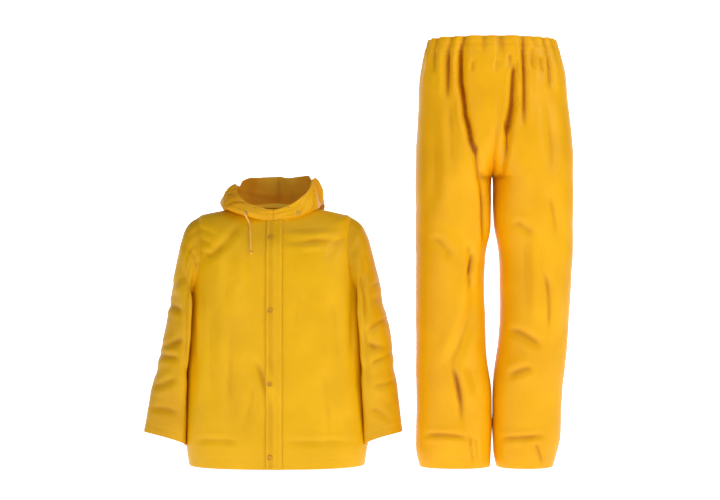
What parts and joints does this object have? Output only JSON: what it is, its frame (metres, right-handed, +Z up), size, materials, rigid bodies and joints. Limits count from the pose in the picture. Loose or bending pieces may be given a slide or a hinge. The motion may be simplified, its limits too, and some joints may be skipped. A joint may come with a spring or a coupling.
{
  "type": "rain suit",
  "caption": "Hooded rain jacket with a studded storm flap, and elastic-waist over-trousers beside it, filled out as if worn.",
  "frame": {"origin": "the middle of the jacket's neck, where a hanger or a wearer's neck holds it up", "axes": "+Z up, the fronts face -Y, +X towards the wearer's left, with the trousers beside the jacket"},
  "size_m": [1.1156, 0.3435, 1.106],
  "materials": {
    "jacket_cloth": "PVC-coated polyester, smooth, soft sheen",
    "flap_cloth": "PVC-coated polyester, smooth, soft sheen",
    "sleeve_cloth_left": "PVC-coated polyester, smooth, soft sheen",
    "sleeve_cloth_right": "PVC-coated polyester, smooth, soft sheen",
    "hood_cloth": "PVC-coated polyester, smooth, soft sheen",
    "trouser_cloth": "PVC-coated polyester, smooth, soft sheen",
    "casing_cloth": "PVC-coated polyester, gathered on elastic",
    "stud_lacquer": "pressed steel cap, yellow lacquer",
    "eyelet_brass": "stamped and rolled",
    "cord_braid": "braided polyester cord",
    "knot_braid": "the cord's own braid, knotted"
  },
  "bodies": {
    "root": {"jacket_back": "jacket_cloth", "jacket_front_left": "jacket_cloth", "jacket_front_right": "jacket_cloth", "storm_flap": "flap_cloth", "press_stud_1": "stud_lacquer", "press_stud_2": "stud_lacquer", "press_stud_3": "stud_lacquer", "press_stud_4": "stud_lacquer", "sleeve_left": "sleeve_cloth_left", "sleeve_right": "sleeve_cloth_right", "hood_left": "hood_cloth", "hood_right": "hood_cloth", "eyelet_left": "eyelet_brass", "eyelet_right": "eyelet_brass", "hood_cord": "cord_braid", "hood_cord_knot": "knot_braid", "waist_casing": "casing_cloth", "trouser_front_left": "trouser_cloth", "trouser_front_right": "trouser_cloth", "trouser_back_left": "trouser_cloth", "trouser_back_right": "trouser_cloth"}
  },
  "joints": []
}
